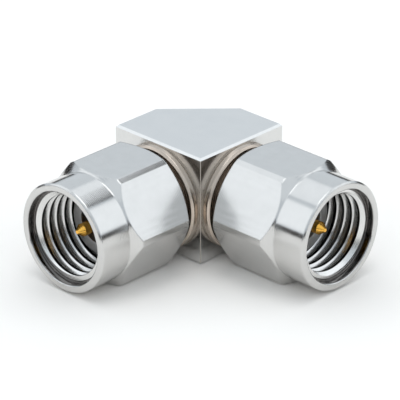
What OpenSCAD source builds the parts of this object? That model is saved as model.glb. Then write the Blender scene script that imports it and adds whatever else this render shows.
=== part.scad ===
// Right-angle coaxial adapter with a male screw-on port on each arm.
// Port a faces -Y and port b faces +X. The arms' axes cross above the origin,
// which lies on the block's bottom face. Sizes are in millimetres.

/* [Block] */
// Height of the block
block_height = 8; // [7:0.1:9]
// Distance from the axes' crossing to each connector face
block_front = 3.9; // [3.7:0.05:4.4]
// Distance from the axes' crossing to each plain side
block_back = 4.25; // [3.9:0.05:5]
// Leg of the mitre that cuts the back corner
corner_cut = 4.25; // [3:0.05:4.6]
// Chamfer on the block's top and bottom edges
edge_break = 0.15; // [0.05:0.01:0.3]
// Chamfer on the block's upright front edge
front_edge_break = 0.03; // [0.02:0.01:0.3]
// Depth of the seat that takes each bush's spigot
seat_depth = 1; // [0.8:0.05:1.1]
// Diameter of each bush's spigot
spigot_d = 5.2; // [4.9:0.05:5.3]

/* [Air line] */
// Inner diameter of the outer conductor
line_bore_d = 2.92; // [2.7:0.02:3.1]
// Diameter of the centre conductor
conductor_d = 1.27; // [1.1:0.01:1.4]
// Diameter of the mating pin
pin_d = 0.927; // [0.85:0.001:1]
// Length of the mating pin in front of the mating plane
pin_length = 1.8; // [1.6:0.05:2.4]
// Length of the pin's conical tip
pin_tip_length = 0.45; // [0.3:0.05:0.6]
// Diameter of the flat on the pin's tip
pin_tip_d = 0.25; // [0.15:0.01:0.4]
// Diameter of the spigot that joins the two conductors
joint_pin_d = 0.6; // [0.5:0.01:0.7]
// Diameter of the conductor's neck inside its bead
neck_d = 1.03; // [0.95:0.01:1.09]
// Diameter of the support bead
bead_d = 3.4; // [3.2:0.02:3.6]
// Length of the support bead
bead_length = 2; // [1.6:0.05:2.2]

/* [Outer conductor] */
// Outer diameter of the tube that enters the mating jack
tube_d = 4.592; // [4.4:0.002:4.7]
// Diameter of the stem behind the tube
stem_d = 4; // [3.8:0.02:4.2]
// Chamfer on the tube's front edge
tube_chamfer = 0.12; // [0.05:0.01:0.2]

/* [Flanged bush] */
// Diameter of the round flange between block and nut
flange_d = 7.6; // [7:0.05:7.8]
// Length of the flange
flange_length = 0.65; // [0.5:0.05:1]
// Diameter of the barrel that the nut turns on
barrel_d = 5.4; // [5.2:0.02:5.5]
// Chamfer on the flange's edges
flange_chamfer = 0.15; // [0.05:0.01:0.3]

/* [Coupling nut] */
// Width across the hexagon's flats
nut_flats = 8; // [7.9:0.05:9]
// Length of the nut
nut_length = 8; // [7.4:0.05:9]
// Gap between the flange and the nut's rear face
nut_gap = 0.7; // [0.4:0.05:0.9]
// Diameter of the round collar in front of the hexagon
collar_d = 7.8; // [7.2:0.05:7.85]
// Length of the round collar
collar_length = 2.6; // [1.8:0.05:3.2]
// Diameter of the nut's flat rear face
rear_face_d = 7.9; // [7:0.05:8]
// Length over which the hexagon's rear corners are turned down
rear_chamfer = 0.38; // [0.2:0.02:0.6]
// Length over which the hexagon's front corners are turned down
front_chamfer = 0.62; // [0.3:0.02:0.8]
// Depth by which the hexagon's long corners are broken
corner_break = 0.12; // [0.02:0.01:0.2]
// Chamfer on the collar's outer front edge
collar_chamfer = 0.12; // [0.05:0.01:0.2]
// Major diameter of the coupling thread
thread_d = 6.35; // [6.2:0.01:6.5]
// Diameter of the plain lead-in in front of the thread
lead_in_d = 6.68; // [6.5:0.02:6.8]
// Length of the plain lead-in
lead_in_length = 0.6; // [0.3:0.02:0.8]
// Chamfer at the lead-in's mouth
mouth_chamfer = 0.08; // [0.03:0.01:0.15]
// Diameter of the relief behind the thread
relief_d = 7; // [6.95:0.05:7.1]
// Length of the relief behind the thread
relief_length = 0.6; // [0.4:0.05:0.9]
// Length of the plain bore at the nut's rear
rear_bore_length = 2.45; // [2.2:0.05:2.8]
// Depth from the nut's front face to the mating plane
mating_depth = 3.2; // [2.8:0.05:3.6]

/* [Snap ring] */
// Inner diameter of the snap ring
ring_inner_d = 4.7; // [4.6:0.02:4.9]
// Outer diameter of the snap ring
ring_outer_d = 6; // [5.8:0.02:6.1]
// Thickness of the snap ring along the arm
ring_thickness = 0.5; // [0.35:0.01:0.6]
// Distance from the nut's rear face to the middle of the ring
ring_place = 1.25; // [1.1:0.05:1.4]
// Angle of the gap in the ring
ring_gap_angle = 40; // [20:1:70]

/* [Fits] */
// Radial clearance between the barrel and the nut
nut_clearance = 0.05; // [0.03:0.01:0.08]
// Radial clearance of the snap ring in its grooves
ring_clearance = 0.06; // [0.04:0.01:0.1]
// Side clearance of the snap ring in its grooves
ring_side_clearance = 0.03; // [0.02:0.01:0.05]
// End float of the nut in each direction
nut_float = 0.15; // [0.1:0.01:0.2]
// How far the barrel's front stands out of the nut's rear bore
barrel_lead = 0.15; // [0.1:0.01:0.3]

/* [Hidden] */

$fn = 72;
// How far a cut reaches past the face that it opens
overcut = 0.5;
// Turn about Z that points each arm the right way
turn_a = 0;
turn_b = 90;

// Height of both axes above the block's bottom face
axis_height = block_height / 2;

// Places along an arm, measured from the axes' crossing
seat_floor = block_front - seat_depth;
bead_end = seat_floor + bead_length;
flange_end = block_front + flange_length;
nut_rear = flange_end + nut_gap;
ring_middle = nut_rear + ring_place;
nut_step = nut_rear + rear_bore_length;
barrel_end = nut_step + barrel_lead;
nut_front = nut_rear + nut_length;
collar_start = nut_front - collar_length;
mating_plane = nut_front - mating_depth;
pin_end = mating_plane + pin_length;

// Corner radius of the hexagon
hex_corner_r = nut_flats / 2 / cos(30);
nut_bore_d = barrel_d + 2 * nut_clearance;
bush_groove_d = ring_inner_d - 2 * ring_clearance;
nut_groove_d = ring_outer_d + 2 * ring_clearance;
nut_groove_half = ring_thickness / 2 + ring_side_clearance;
bush_groove_half = nut_groove_half + nut_float;

// Puts a piece drawn along +Z onto one arm, with its own +Y pointing up
module on_arm(turn) {
  translate([0, 0, axis_height])
    rotate([90, 0, turn])
      children();
}

// Round bar along an arm between two places
module bar(d, from, to) {
  translate([0, 0, from])
    cylinder(d = d, h = to - from);
}

// Slab of the block's height with chamfered long edges, drawn along Y
module bevelled_slab(left, right, reach) {
  rotate([90, 0, 0])
    linear_extrude(height = 2 * reach, center = true)
      polygon([
        [left + edge_break, 0],
        [right - edge_break, 0],
        [right, edge_break],
        [right, block_height - edge_break],
        [right - edge_break, block_height],
        [left + edge_break, block_height],
        [left, block_height - edge_break],
        [left, edge_break]
      ]);
}

// Mitred block with its top, bottom and front edges broken, before it is bored
module block_form() {
  reach = 2 * (block_front + block_back);
  mitre = (2 * block_back - corner_cut) / sqrt(2);
  front_edge = sqrt(2) * block_front - front_edge_break / sqrt(2);
  intersection() {
    bevelled_slab(-block_back, block_front, reach);
    rotate([0, 0, 90])
      bevelled_slab(-block_front, block_back, reach);
    rotate([0, 0, -45])
      bevelled_slab(-mitre, front_edge, reach);
  }
}

// Block with a stepped bore for each arm
module body_block() {
  color([0.78, 0.81, 0.84])
    difference() {
      block_form();
      for (turn = [turn_a, turn_b])
        on_arm(turn) {
          bar(spigot_d, seat_floor, block_front + overcut);
          bar(line_bore_d, -line_bore_d / 2, seat_floor + overcut);
        }
    }
}

// Turned bush: spigot in the block, round flange, and barrel with the ring groove
module flanged_bush() {
  color([0.63, 0.58, 0.53])
    rotate_extrude()
      polygon([
        [stem_d / 2, seat_floor],
        [spigot_d / 2, seat_floor],
        [spigot_d / 2, block_front],
        [flange_d / 2 - flange_chamfer, block_front],
        [flange_d / 2, block_front + flange_chamfer],
        [flange_d / 2, flange_end - flange_chamfer],
        [flange_d / 2 - flange_chamfer, flange_end],
        [barrel_d / 2, flange_end],
        [barrel_d / 2, ring_middle - bush_groove_half],
        [bush_groove_d / 2, ring_middle - bush_groove_half],
        [bush_groove_d / 2, ring_middle + bush_groove_half],
        [barrel_d / 2, ring_middle + bush_groove_half],
        [barrel_d / 2, barrel_end],
        [stem_d / 2, barrel_end]
      ]);
}

// Turned tube whose stem is pressed through the bush, bored for the bead and the air line
module outer_conductor() {
  color([0.66, 0.65, 0.64])
    rotate_extrude()
      polygon([
        [bead_d / 2, seat_floor],
        [stem_d / 2, seat_floor],
        [stem_d / 2, barrel_end],
        [tube_d / 2, barrel_end],
        [tube_d / 2, mating_plane - tube_chamfer],
        [tube_d / 2 - tube_chamfer, mating_plane],
        [line_bore_d / 2, mating_plane],
        [line_bore_d / 2, bead_end],
        [bead_d / 2, bead_end]
      ]);
}

// Hexagon with turned-down corners, running into a round collar
module nut_form() {
  turned_r = hex_corner_r - corner_break;
  intersection() {
    bar(2 * hex_corner_r, nut_rear, nut_front, $fn = 6);
    rotate_extrude()
      polygon([
        [0, nut_rear],
        [rear_face_d / 2, nut_rear],
        [turned_r, nut_rear + rear_chamfer],
        [turned_r, collar_start - front_chamfer],
        [collar_d / 2, collar_start],
        [collar_d / 2, nut_front - collar_chamfer],
        [collar_d / 2 - collar_chamfer, nut_front],
        [0, nut_front]
      ]);
  }
}

// Coupling nut: rear bore with ring groove, thread relief, threaded socket and lead-in
module coupling_nut() {
  color([0.84, 0.86, 0.88])
    difference() {
      nut_form();
      rotate_extrude()
        polygon([
          [0, nut_rear - overcut],
          [nut_bore_d / 2, nut_rear - overcut],
          [nut_bore_d / 2, ring_middle - nut_groove_half],
          [nut_groove_d / 2, ring_middle - nut_groove_half],
          [nut_groove_d / 2, ring_middle + nut_groove_half],
          [nut_bore_d / 2, ring_middle + nut_groove_half],
          [nut_bore_d / 2, nut_step],
          [relief_d / 2, nut_step],
          [relief_d / 2, nut_step + relief_length],
          [thread_d / 2, nut_step + relief_length],
          [thread_d / 2, nut_front - lead_in_length],
          [lead_in_d / 2, nut_front - lead_in_length],
          [lead_in_d / 2, nut_front - mouth_chamfer],
          [lead_in_d / 2 + mouth_chamfer, nut_front],
          [lead_in_d / 2 + mouth_chamfer, nut_front + overcut],
          [0, nut_front + overcut]
        ]);
    }
}

// Open spring ring that keeps the nut on the bush
module snap_ring() {
  color([0.74, 0.58, 0.34])
    rotate([0, 0, ring_gap_angle / 2])
      rotate_extrude(angle = 360 - ring_gap_angle)
        translate([ring_inner_d / 2, ring_middle - ring_thickness / 2])
          square([(ring_outer_d - ring_inner_d) / 2, ring_thickness]);
}

// Moulded bead that holds the conductor in the middle of the air line
module support_bead() {
  color([0.94, 0.94, 0.91])
    difference() {
      bar(bead_d, seat_floor, bead_end);
      bar(neck_d, seat_floor - overcut, bead_end + overcut);
    }
}

// Turned conductor from a place near the crossing to the tip of its pin
module conductor(inner_end) {
  rotate_extrude()
    polygon([
      [0, inner_end],
      [conductor_d / 2, inner_end],
      [conductor_d / 2, seat_floor],
      [neck_d / 2, seat_floor],
      [neck_d / 2, bead_end],
      [conductor_d / 2, bead_end],
      [conductor_d / 2, mating_plane],
      [pin_d / 2, mating_plane],
      [pin_d / 2, pin_end - pin_tip_length],
      [pin_tip_d / 2, pin_end],
      [0, pin_end]
    ]);
}

// Conductor of port a, cross-drilled at the crossing
module center_contact_a() {
  color([0.89, 0.67, 0.26])
    on_arm(turn_a)
      difference() {
        conductor(-conductor_d / 2);
        rotate([0, 90, 0])
          cylinder(d = joint_pin_d, h = conductor_d + 2 * overcut, center = true);
      }
}

// Conductor of port b, with a spigot in the other conductor's cross hole
module center_contact_b() {
  color([0.89, 0.67, 0.26])
    on_arm(turn_b) {
      conductor(conductor_d / 2);
      bar(joint_pin_d, -conductor_d / 2, conductor_d);
    }
}

body_block();
on_arm(turn_a) flanged_bush();  // flanged_bush_a
on_arm(turn_b) flanged_bush();  // flanged_bush_b
on_arm(turn_a) outer_conductor();  // outer_conductor_a
on_arm(turn_b) outer_conductor();  // outer_conductor_b
on_arm(turn_a) coupling_nut();  // coupling_nut_a
on_arm(turn_b) coupling_nut();  // coupling_nut_b
on_arm(turn_a) snap_ring();  // snap_ring_a
on_arm(turn_b) snap_ring();  // snap_ring_b
on_arm(turn_a) support_bead();  // support_bead_a
on_arm(turn_b) support_bead();  // support_bead_b
center_contact_a();
center_contact_b();
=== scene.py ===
import math

import bpy
from mathutils import Matrix, Vector


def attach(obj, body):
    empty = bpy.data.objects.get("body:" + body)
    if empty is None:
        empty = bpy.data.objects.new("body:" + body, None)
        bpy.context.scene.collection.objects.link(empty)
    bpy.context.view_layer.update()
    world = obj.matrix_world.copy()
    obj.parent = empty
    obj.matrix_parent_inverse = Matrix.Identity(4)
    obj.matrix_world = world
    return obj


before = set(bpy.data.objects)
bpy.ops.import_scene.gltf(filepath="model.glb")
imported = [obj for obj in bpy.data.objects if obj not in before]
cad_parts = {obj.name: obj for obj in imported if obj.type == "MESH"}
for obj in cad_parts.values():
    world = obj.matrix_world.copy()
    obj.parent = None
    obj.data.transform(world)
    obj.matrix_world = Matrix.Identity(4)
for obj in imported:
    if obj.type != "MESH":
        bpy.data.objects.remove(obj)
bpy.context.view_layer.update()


# Body block: a square piece of stainless steel bar with its back corner mitred at 45
# degrees, bored from both connector faces. Its faces are milled, its edges are broken,
# and the whole is passivated.

# The object's sizes are in millimetres, and the scene's unit is the metre
MM = 0.001
PER_MM = 1 / MM


def linear(hex_colour):
    """Linear RGBA of an sRGB hex colour."""
    channels = [int(hex_colour[i:i + 2], 16) / 255 for i in (1, 3, 5)]
    return [c / 12.92 if c <= 0.04045 else ((c + 0.055) / 1.055) ** 2.4 for c in channels] + [1.0]


def new_material(name):
    """An empty node material."""
    material = bpy.data.materials.new(name)
    material.use_nodes = True
    material.node_tree.nodes.clear()
    return material


def add_node(material, kind, settings=None, links=None):
    """Adds a node, sets its sockets and properties, and links sockets to other nodes' outputs.

    A Mix node's sockets go by number: 2 and 3 are A and B of numbers, 6 and 7 of colours,
    and the mixed number and colour leave by outputs 0 and 2.
    """
    node = material.node_tree.nodes.new(kind)
    for name, value in (settings or {}).items():
        if isinstance(name, int) or name in node.inputs:
            node.inputs[name].default_value = value
        else:
            setattr(node, name, value)
    for name, source in (links or {}).items():
        material.node_tree.links.new(source, node.inputs[name])
    return node


def dress(node_name, material):
    """Puts a material on every slot of a CAD node."""
    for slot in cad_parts[node_name].material_slots:
        slot.material = material


# Milled and passivated stainless steel: a pale satin with soft clouds, in which short
# cutter marks run from the front edge to the mitre. Real marks are about 0.02 mm wide,
# too fine to show, so they are drawn 0.1 mm wide and about eight times as long.
CUTTER_MARK = 0.1
CUTTER_MARK_SQUEEZE = 0.12
CUTTER_MARK_DEPTH = 0.0015
BLOCK_CLOUDS_PER_MM = 0.8
BLOCK_GREY = "#D8D8D7"
BLOCK_PALE_GREY = "#DFDEDC"
BLOCK_ROUGHNESS = (0.16, 0.26)
# Radius that softens the look of the edges
BLOCK_EDGE = 0.01
EDGE_SAMPLES = 4
# Most of a noise texture lies between these levels
NOISE_LOW = 0.3
NOISE_HIGH = 0.7
# The upright front edge is only just broken with a file, which leaves it dull, and its
# darker, browner grey is painted shade
FRONT_EDGE_PLACE = -5.485
FRONT_EDGE_BLEND = 0.005
FRONT_EDGE_SHADE_GREY = "#BCB4AB"
FRONT_EDGE_ROUGHNESS = 0.5

block_steel = new_material("milled_stainless_block")
place = add_node(block_steel, "ShaderNodeTexCoord")
turned = add_node(
    block_steel, "ShaderNodeMapping",
    {"Rotation": (0, 0, math.radians(-45)), "Scale": (PER_MM, PER_MM, PER_MM)},
    {"Vector": place.outputs["Object"]},
)
stretched = add_node(
    block_steel, "ShaderNodeMapping", {"Scale": (1, CUTTER_MARK_SQUEEZE, 1)},
    {"Vector": turned.outputs["Vector"]},
)
cutter_marks = add_node(
    block_steel, "ShaderNodeTexNoise", {"Scale": 1 / CUTTER_MARK, "Detail": 3.0},
    {"Vector": stretched.outputs["Vector"]},
)
cloud = add_node(
    block_steel, "ShaderNodeTexNoise", {"Scale": BLOCK_CLOUDS_PER_MM, "Detail": 2.0},
    {"Vector": turned.outputs["Vector"]},
)
tone = add_node(
    block_steel, "ShaderNodeMix",
    {"data_type": "RGBA", 6: linear(BLOCK_GREY), 7: linear(BLOCK_PALE_GREY)},
    {0: cloud.outputs["Fac"]},
)
satin = add_node(
    block_steel, "ShaderNodeMapRange",
    {"From Min": NOISE_LOW, "From Max": NOISE_HIGH,
     "To Min": BLOCK_ROUGHNESS[0], "To Max": BLOCK_ROUGHNESS[1]},
    {"Value": cutter_marks.outputs["Fac"]},
)
front_to_back = add_node(
    block_steel, "ShaderNodeSeparateXYZ", links={"Vector": turned.outputs["Vector"]})
filed_and_shaded = add_node(
    block_steel, "ShaderNodeMapRange",
    {"From Min": FRONT_EDGE_PLACE, "From Max": FRONT_EDGE_PLACE - FRONT_EDGE_BLEND},
    {"Value": front_to_back.outputs["Y"]},
)
# Painted shade: a darker brownish grey along the upright front edge
colour = add_node(
    block_steel, "ShaderNodeMix", {"data_type": "RGBA", 7: linear(FRONT_EDGE_SHADE_GREY)},
    {0: filed_and_shaded.outputs["Result"], 6: tone.outputs[2]},
)
dullness = add_node(
    block_steel, "ShaderNodeMix", {"data_type": "FLOAT", 3: FRONT_EDGE_ROUGHNESS},
    {0: filed_and_shaded.outputs["Result"], 2: satin.outputs["Result"]},
)
soft_edge = add_node(
    block_steel, "ShaderNodeBevel", {"Radius": BLOCK_EDGE * MM, "samples": EDGE_SAMPLES})
relief = add_node(
    block_steel, "ShaderNodeBump", {"Strength": 1.0, "Distance": CUTTER_MARK_DEPTH * MM},
    {"Height": cutter_marks.outputs["Fac"], "Normal": soft_edge.outputs["Normal"]},
)
shader = add_node(
    block_steel, "ShaderNodeBsdfPrincipled", {"Metallic": 1.0},
    {"Base Color": colour.outputs[2], "Roughness": dullness.outputs[0],
     "Normal": relief.outputs["Normal"]},
)
add_node(block_steel, "ShaderNodeOutputMaterial", links={"Surface": shader.outputs["BSDF"]})
dress("body_block", block_steel)


# Flanged bushes: stainless steel turned on a lathe, one pressed into each connector face
# of the block. Only the round flange shows, in the gap between the block and the nut.
AXIS_HEIGHT = 4.0
# Turn and shift that lay each arm's axis along Z for its pattern
ARMS = {
    "a": {"turn": (math.radians(90), 0, 0), "shift": (0, AXIS_HEIGHT, 0)},
    "b": {"turn": (0, math.radians(-90), 0), "shift": (AXIS_HEIGHT, 0, 0)},
}
# A wave texture repeats every 2 pi / 20 of its unit
WAVE_REPEAT = 2 * math.pi / 20
TURNED_CLOUDS_PER_MM = 1.2
# Most of the sum of two wave textures lies between these levels
MARKS_LOW = 0.3
MARKS_HIGH = 1.7
PAINTED_SHADE_BLEND = 0.01


def turned_metal(name, arm, light, dark, roughness, feed, depth, edge, painted_shade_r=0, painted_shade=None):
    """A lathe-turned metal with lines round one arm's axis, all lengths in millimetres.

    The lines lie feed apart and are depth deep. roughness is its least and greatest value,
    edge softens the look of the edges, and the last two arguments lay painted shade, a darker
    tone, within a radius of the axis.
    A finishing cut leaves lines about 0.05 mm apart, which is too fine to show, so every
    feed is drawn two to four times as coarse.
    """
    material = new_material(f"{name}_{arm}")
    place = add_node(material, "ShaderNodeTexCoord")
    on_axis = add_node(
        material, "ShaderNodeMapping",
        {"Rotation": ARMS[arm]["turn"], "Location": ARMS[arm]["shift"],
         "Scale": (PER_MM, PER_MM, PER_MM)},
        {"Vector": place.outputs["Object"]},
    )
    lines = add_node(
        material, "ShaderNodeTexWave",
        {"wave_type": "BANDS", "bands_direction": "Z", "Scale": WAVE_REPEAT / feed,
         "Distortion": 1.5, "Detail": 2.0, "Detail Scale": 0.6},
        {"Vector": on_axis.outputs["Vector"]},
    )
    rings = add_node(
        material, "ShaderNodeTexWave",
        {"wave_type": "RINGS", "rings_direction": "Z", "Scale": WAVE_REPEAT / feed,
         "Distortion": 1.0, "Detail": 2.0, "Detail Scale": 0.6},
        {"Vector": on_axis.outputs["Vector"]},
    )
    marks = add_node(
        material, "ShaderNodeMath", {"operation": "ADD"},
        {0: lines.outputs["Fac"], 1: rings.outputs["Fac"]},
    )
    cloud = add_node(
        material, "ShaderNodeTexNoise", {"Scale": TURNED_CLOUDS_PER_MM, "Detail": 3.0},
        {"Vector": on_axis.outputs["Vector"]},
    )
    colour = add_node(
        material, "ShaderNodeMix",
        {"data_type": "RGBA", 6: linear(dark), 7: linear(light)},
        {0: cloud.outputs["Fac"]},
    )
    # Painted shade: a darker tone within a radius of the axis, where a recess lies in shade
    if painted_shade:
        across = add_node(
            material, "ShaderNodeVectorMath", {"operation": "MULTIPLY", 1: (1, 1, 0)},
            {0: on_axis.outputs["Vector"]},
        )
        radius = add_node(
            material, "ShaderNodeVectorMath", {"operation": "LENGTH"},
            {0: across.outputs["Vector"]},
        )
        outside = add_node(
            material, "ShaderNodeMapRange", {"From Min": painted_shade_r, "From Max": painted_shade_r + PAINTED_SHADE_BLEND},
            {"Value": radius.outputs["Value"]},
        )
        colour = add_node(
            material, "ShaderNodeMix", {"data_type": "RGBA", 6: linear(painted_shade)},
            {0: outside.outputs["Result"], 7: colour.outputs[2]},
        )
    satin = add_node(
        material, "ShaderNodeMapRange",
        {"From Min": MARKS_LOW, "From Max": MARKS_HIGH,
         "To Min": roughness[0], "To Max": roughness[1]},
        {"Value": marks.outputs["Value"]},
    )
    soft_edge = add_node(
        material, "ShaderNodeBevel", {"Radius": edge * MM, "samples": EDGE_SAMPLES})
    relief = add_node(
        material, "ShaderNodeBump", {"Strength": 1.0, "Distance": depth * MM},
        {"Height": marks.outputs["Value"], "Normal": soft_edge.outputs["Normal"]},
    )
    shader = add_node(
        material, "ShaderNodeBsdfPrincipled", {"Metallic": 1.0},
        {"Base Color": colour.outputs[2], "Roughness": satin.outputs["Result"],
         "Normal": relief.outputs["Normal"]},
    )
    add_node(material, "ShaderNodeOutputMaterial", links={"Surface": shader.outputs["BSDF"]})
    return material


# Turned stainless steel: a satin a little browner and darker than the block's, which is
# painted shade for the gap between the block and the nut, with bright and dull lines round the
# flange
for arm in ARMS:
    dress(f"flanged_bush_{arm}", turned_metal(
        "turned_stainless_bush", arm, light="#D2C5B8", dark="#BCAFA2", roughness=(0.2, 0.34),
        feed=0.2, depth=0.002, edge=0.05))


# Outer conductors: stainless steel tubes turned in one with their stems, each pressed
# through its bush. The tube's end is the ring that shows deep inside the nut.

# Finely turned stainless steel: a flat, even grey that mirrors little, paler than the other
# steels as painted light on the ring deep inside the nut
for arm in ARMS:
    dress(f"outer_conductor_{arm}", turned_metal(
        "turned_stainless_tube", arm, light="#E4E4E3", dark="#D4D3D2", roughness=(0.36, 0.48),
        feed=0.12, depth=0.001, edge=0.03))


# Support beads: fluoropolymer rings moulded round each contact's neck. They sit inside
# the stems and hardly show.

# Moulded fluoropolymer: a waxy, faintly mottled white
BEAD_MOTTLES_PER_MM = 2
BEAD_WHITE = "#F3F2EE"
BEAD_GREY_WHITE = "#E6E4DC"
BEAD_ROUGHNESS = (0.38, 0.52)
BEAD_RELIEF = 0.004
BEAD_IOR = 1.35
for arm in ARMS:
    bead_plastic = new_material(f"moulded_fluoropolymer_{arm}")
    place = add_node(bead_plastic, "ShaderNodeTexCoord")
    cloud = add_node(
        bead_plastic, "ShaderNodeTexNoise", {"Scale": BEAD_MOTTLES_PER_MM * PER_MM, "Detail": 2.0},
        {"Vector": place.outputs["Object"]},
    )
    tone = add_node(
        bead_plastic, "ShaderNodeMix",
        {"data_type": "RGBA", 6: linear(BEAD_GREY_WHITE), 7: linear(BEAD_WHITE)},
        {0: cloud.outputs["Fac"]},
    )
    wax = add_node(
        bead_plastic, "ShaderNodeMapRange",
        {"From Min": NOISE_LOW, "From Max": NOISE_HIGH,
         "To Min": BEAD_ROUGHNESS[0], "To Max": BEAD_ROUGHNESS[1]},
        {"Value": cloud.outputs["Fac"]},
    )
    relief = add_node(
        bead_plastic, "ShaderNodeBump", {"Strength": 1.0, "Distance": BEAD_RELIEF * MM},
        {"Height": cloud.outputs["Fac"]},
    )
    shader = add_node(
        bead_plastic, "ShaderNodeBsdfPrincipled", {"IOR": BEAD_IOR},
        {"Base Color": tone.outputs[2], "Roughness": wax.outputs["Result"],
         "Normal": relief.outputs["Normal"]},
    )
    add_node(bead_plastic, "ShaderNodeOutputMaterial", links={"Surface": shader.outputs["BSDF"]})
    dress(f"support_bead_{arm}", bead_plastic)


# Centre contacts: turned beryllium copper, gold plated all over. A spigot on one sits in
# a cross hole of the other, and each ends in a pin with a pointed tip.

# Gold plate over fine turning: a warm yellow mirror with brown depths
for arm in ARMS:
    dress(f"center_contact_{arm}", turned_metal(
        "gold_plate", arm, light="#FFC860", dark="#F2B24A", roughness=(0.1, 0.18),
        feed=0.1, depth=0.0008, edge=0.02))


# Snap rings: open rings of spring bronze in a groove of each bush and nut. They keep the
# nut on and let it turn, and they don't show.

# Bare spring bronze: a dull brownish yellow
for arm in ARMS:
    dress(f"snap_ring_{arm}", turned_metal(
        "spring_bronze", arm, light="#C09A62", dark="#A98450", roughness=(0.25, 0.4),
        feed=0.12, depth=0.001, edge=0.03))


# Coupling nuts: free-turning hexagons of stainless steel bar, 8 mm across flats, with a
# round collar turned in front and a stepped socket behind its mouth.

# Drawn and turned stainless steel: a bright, faintly clouded satin with soft edges. The
# socket's wall, within the painted-shade radius, is painted darker: painted shade, as the
# photograph shows it
# Painted shade: a dark tone on the socket's wall inside the nut
for arm in ARMS:
    dress(f"coupling_nut_{arm}", turned_metal(
        "turned_stainless_nut", arm, light="#D5D4D2", dark="#CDCCCA", roughness=(0.12, 0.2),
        feed=0.14, depth=0.0006, edge=0.12, painted_shade_r=3.36, painted_shade="#7A7775"))


# Coupling threads: the right-hand thread cut in each nut, 36 turns to the inch. The nut's
# solid has a plain wall at the thread's major diameter, and this ridge stands on it.
THREAD_PITCH = 25.4 / 36
THREAD_HEIGHT = 0.49 * THREAD_PITCH
THREAD_BASE = THREAD_PITCH * 7 / 8
THREAD_CREST = THREAD_PITCH / 4
THREAD_ROOT_R = 3.175
THREAD_CREST_R = THREAD_ROOT_R - THREAD_HEIGHT
# How far the ridge reaches into the wall, so that no gap shows
THREAD_EMBED = 0.02
# Both ends of the threaded length, from the crossing of the arms' axes
THREAD_REAR = 8.3
THREAD_FRONT = 12.65
THREAD_STEPS = 96
THREAD_TURNS = 8
GAUGE_SIDES = 64
GAUGE_R = 1.2 * (THREAD_ROOT_R + THREAD_EMBED)
SMOOTH_ANGLE = 25

# The ridge's section, narrower at the crest, as a loop of four edges beside the axis
thread_slope = (THREAD_BASE - THREAD_CREST) / 2 / (THREAD_ROOT_R - THREAD_CREST_R)
base_width = THREAD_BASE + 2 * THREAD_EMBED * thread_slope
outer_r = THREAD_ROOT_R + THREAD_EMBED
middle_r = (outer_r + THREAD_CREST_R) / 2
# The last full turn starts right behind the lead-in on the far side of the nut
thread_start = THREAD_FRONT - THREAD_BASE / 2 + (0.5 - THREAD_TURNS) * THREAD_PITCH
bpy.ops.object.select_all(action="DESELECT")
bpy.ops.mesh.primitive_plane_add(
    size=MM, location=(middle_r * MM, 0, thread_start * MM), rotation=(math.radians(90), 0, 0))
thread = bpy.context.object
thread.scale = (outer_r - THREAD_CREST_R, base_width, 1)
bpy.ops.object.transform_apply(location=True, rotation=True, scale=True)
bpy.ops.object.mode_set(mode="EDIT")
bpy.ops.mesh.delete(type="ONLY_FACE")
bpy.ops.object.mode_set(mode="OBJECT")
for vertex in thread.data.vertices:
    vertex.select = vertex.co.x < middle_r * MM
for edge in thread.data.edges:
    edge.select = all(thread.data.vertices[i].select for i in edge.vertices)
bpy.ops.object.mode_set(mode="EDIT")
bpy.ops.transform.resize(value=(1, 1, THREAD_CREST / base_width))
bpy.ops.object.mode_set(mode="OBJECT")

# The section is wound round the axis and closed at both ends
helix = thread.modifiers.new("helix", "SCREW")
helix.axis = "Z"
helix.screw_offset = THREAD_PITCH * MM
helix.iterations = THREAD_TURNS + 1
helix.steps = THREAD_STEPS
helix.render_steps = THREAD_STEPS
bpy.ops.object.modifier_apply(modifier="helix")
bpy.ops.object.mode_set(mode="EDIT")
bpy.ops.mesh.select_all(action="SELECT")
bpy.ops.mesh.fill_holes(sides=4)
bpy.ops.mesh.normals_make_consistent(inside=False)
bpy.ops.object.mode_set(mode="OBJECT")

# What reaches past the threaded length is trimmed off
bpy.ops.mesh.primitive_cylinder_add(
    vertices=GAUGE_SIDES, radius=GAUGE_R * MM, depth=(THREAD_FRONT - THREAD_REAR) * MM,
    location=(0, 0, (THREAD_FRONT + THREAD_REAR) / 2 * MM))
gauge = bpy.context.object
bpy.ops.object.select_all(action="DESELECT")
thread.select_set(True)
bpy.context.view_layer.objects.active = thread
trim = thread.modifiers.new("trim", "BOOLEAN")
trim.operation = "INTERSECT"
trim.solver = "EXACT"
trim.object = gauge
bpy.ops.object.modifier_apply(modifier="trim")
bpy.data.objects.remove(gauge)
bpy.ops.object.shade_smooth_by_angle(angle=math.radians(SMOOTH_ANGLE))
thread.name = "coupling_thread_a"
bpy.ops.object.duplicate()
other_thread = bpy.context.object
other_thread.name = "coupling_thread_b"

# Each thread is laid along its arm. Cut stainless steel: bright flanks, in a grey paler than
# the nut's that is partly painted highlight, and narrow flats along the crests, which lie
# within the painted-shade radius and are painted dark as painted shade
onto_arm = {
    "a": Matrix.Rotation(math.radians(90), 4, "X"),
    "b": Matrix.Rotation(math.radians(90), 4, "Y") @ Matrix.Rotation(math.radians(-90), 4, "Z"),
}
for arm, piece in (("a", thread), ("b", other_thread)):
    bpy.ops.object.select_all(action="DESELECT")
    piece.select_set(True)
    bpy.context.view_layer.objects.active = piece
    piece.matrix_world = Matrix.Translation((0, 0, AXIS_HEIGHT * MM)) @ onto_arm[arm]
    bpy.ops.object.transform_apply(location=True, rotation=True, scale=True)
    piece.data.materials.clear()
    # Painted highlight on the flanks and painted shade on the crests
    piece.data.materials.append(turned_metal(
        "cut_stainless_thread", arm, light="#E6E5E3", dark="#DCDBD9", roughness=(0.2, 0.28),
        feed=0.1, depth=0.0004, edge=0.02, painted_shade_r=2.835, painted_shade="#3A3938"))
    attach(piece, f"nut_{arm}")


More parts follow.
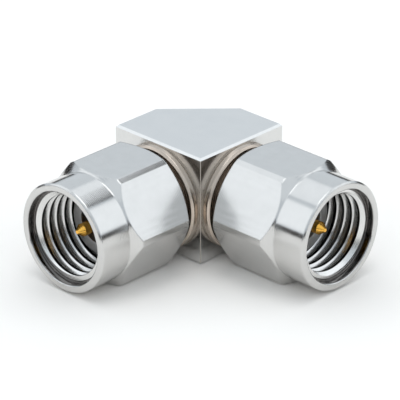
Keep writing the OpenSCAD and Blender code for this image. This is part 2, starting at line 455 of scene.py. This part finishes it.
# Studio: a table of white paper in a pale blue tent. Dim white softboxes stand right, left,
# in front and behind, and a small brighter one hangs overhead. A low dark card round the
# table and three small flags are there for the metal to mirror as dark lines.

# Lengths of the studio are in metres, apart from the gap that keeps the paper clear of the
# faces that rest on it
TABLE_SIZE = 6.0
TABLE_DROP = 0.02 * MM
bpy.ops.mesh.primitive_plane_add(size=TABLE_SIZE, location=(0, 0, -TABLE_DROP))
table = bpy.context.object
table.name = "table"
# White paper: matt, with a trace of warmth
white_paper = new_material("white_paper")
shader = add_node(white_paper, "ShaderNodeBsdfDiffuse", {"Color": linear("#FCF8F3")})
add_node(white_paper, "ShaderNodeOutputMaterial", links={"Surface": shader.outputs["BSDF"]})
table.data.materials.append(white_paper)

CARD_RADIUS = 0.4
CARD_HEIGHT = 0.056
CARD_SIDES = 96
bpy.ops.mesh.primitive_cylinder_add(
    vertices=CARD_SIDES, radius=CARD_RADIUS, depth=CARD_HEIGHT, end_fill_type="NOTHING",
    location=(0, 0, CARD_HEIGHT / 2))
card = bpy.context.object
card.name = "dark_card"
# Dark brown card: matt and nearly black
brown_card = new_material("brown_card")
shader = add_node(brown_card, "ShaderNodeBsdfDiffuse", {"Color": linear("#2A2320")})
add_node(brown_card, "ShaderNodeOutputMaterial", links={"Surface": shader.outputs["BSDF"]})
card.data.materials.append(brown_card)
card.visible_camera = False


def outward(azimuth, elevation):
    """Unit vector from the object towards a place in the studio, with azimuth 0 along +X."""
    across = math.cos(math.radians(elevation))
    return Vector((
        across * math.cos(math.radians(azimuth)),
        across * math.sin(math.radians(azimuth)),
        math.sin(math.radians(elevation)),
    ))


FLAG_DISTANCE = 0.95 * CARD_RADIUS
# Name, azimuth and elevation in degrees, width and height
for name, azimuth, elevation, width, height in (
    ("dark_flag_left", 184, 9, 0.07, 0.06),
    ("dark_flag_right", 87, 10, 0.08, 0.07),
    ("dark_flag_high", 84, 49, 0.16, 0.044),
):
    bpy.ops.mesh.primitive_plane_add(size=1.0)
    flag = bpy.context.object
    flag.name = name
    flag.scale = (width, height, 1)
    flag.location = outward(azimuth, elevation) * FLAG_DISTANCE
    flag.rotation_euler = outward(azimuth, elevation).to_track_quat("Z", "Y").to_euler()
    flag.data.materials.append(brown_card)
    flag.visible_camera = False

# Watts for each square metre of a lamp of brightness 1
LAMP_WATTS = math.pi
# As for the flags, and then the brightness. Every lamp is 1 m from the object
for name, azimuth, elevation, width, height, brightness in (
    ("softbox_right", 43, 28, 1.1, 0.7, 0.5),
    ("softbox_left", 228, 28, 1.1, 0.7, 0.5),
    ("softbox_front", 315, 52, 1.6, 0.6, 0.15),
    ("softbox_back", 136, 58, 1.5, 0.6, 0.4),
    ("softbox_low_back", 136, 24, 1.2, 0.5, 0.09),
    ("softbox_overhead", 315, 84, 0.6, 0.5, 2.0),
):
    lamp_data = bpy.data.lights.new(name, "AREA")
    lamp_data.shape = "RECTANGLE"
    lamp_data.size = width
    lamp_data.size_y = height
    lamp_data.energy = brightness * LAMP_WATTS * width * height
    lamp = bpy.data.objects.new(name, lamp_data)
    bpy.context.scene.collection.objects.link(lamp)
    lamp.location = outward(azimuth, elevation)
    lamp.rotation_euler = outward(azimuth, elevation).to_track_quat("Z", "Y").to_euler()

world = bpy.data.worlds.new("daylight")
bpy.context.scene.world = world
world.use_nodes = True
background = world.node_tree.nodes["Background"]
background.inputs["Color"].default_value = linear("#DEE7EF")
background.inputs["Strength"].default_value = 1.0
bpy.context.scene.view_settings.view_transform = "Standard"

# Angles in degrees, the camera's distance, target, lens and sensor in millimetres
CAMERA_AZIMUTH = -46.02
CAMERA_ELEVATION = 25.9
CAMERA_DISTANCE = 231.39
CAMERA_TARGET = Vector((2.5, -2.5, 4.0))
CAMERA_LENS = 302.89
CAMERA_SENSOR = 36.0
# Nearest and farthest that the camera sees
CAMERA_NEAR = 0.01
CAMERA_FAR = 20.0
camera_data = bpy.data.cameras.new("camera")
camera_data.lens = CAMERA_LENS
camera_data.sensor_width = CAMERA_SENSOR
camera_data.clip_start = CAMERA_NEAR
camera_data.clip_end = CAMERA_FAR
camera = bpy.data.objects.new("camera", camera_data)
bpy.context.scene.collection.objects.link(camera)
towards_camera = outward(CAMERA_AZIMUTH, CAMERA_ELEVATION)
facing = towards_camera.to_track_quat("Z", "Y").to_matrix().to_4x4()
spot = Matrix.Translation((CAMERA_TARGET + towards_camera * CAMERA_DISTANCE) * MM)
camera.matrix_world = spot @ facing
bpy.context.scene.camera = camera
